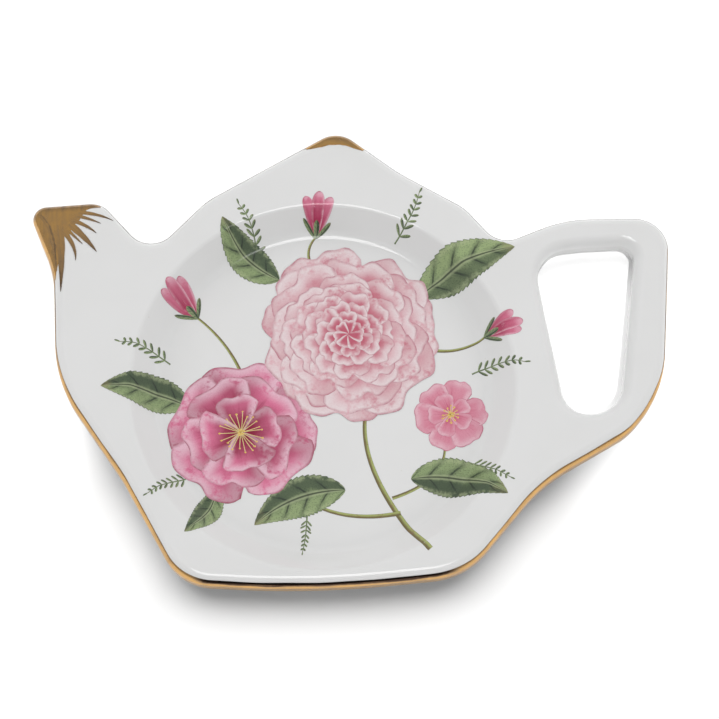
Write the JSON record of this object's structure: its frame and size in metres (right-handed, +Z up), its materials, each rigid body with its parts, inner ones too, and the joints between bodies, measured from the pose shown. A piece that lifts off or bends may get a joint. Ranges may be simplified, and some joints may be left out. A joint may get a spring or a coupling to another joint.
{
  "type": "tea bag rest",
  "caption": "Teapot-shaped white china tea bag rest with a round well, open handle, gilt edge and a printed spray of pink flowers.",
  "frame": {"origin": "on the surface that the dish stands on, under the middle of its outline", "axes": "+X from the spout to the handle, +Y from the front edge to the knob, +Z up out of the well"},
  "size_m": [0.1224, 0.0906, 0.0093],
  "materials": {
    "glazed_china": "gloss glaze",
    "fired_gold": "polished gold lustre",
    "print_pale_pink": "glossy fired print",
    "print_deep_pink": "glossy fired print",
    "print_mid_pink": "glossy fired print",
    "print_leaf_green": "glossy fired print",
    "print_stem_green": "glossy fired print"
  },
  "bodies": {
    "root": {"china_dish": "glazed_china", "gilt_edge_line": "fired_gold", "gilt_spout_tip": "fired_gold", "gilt_knob_tip": "fired_gold", "print_pale_bloom": "print_pale_pink", "print_deep_bloom": "print_deep_pink", "print_small_bloom": "print_mid_pink", "print_buds": "print_deep_pink", "print_leaves": "print_leaf_green", "print_stems": "print_stem_green"}
  },
  "joints": []
}
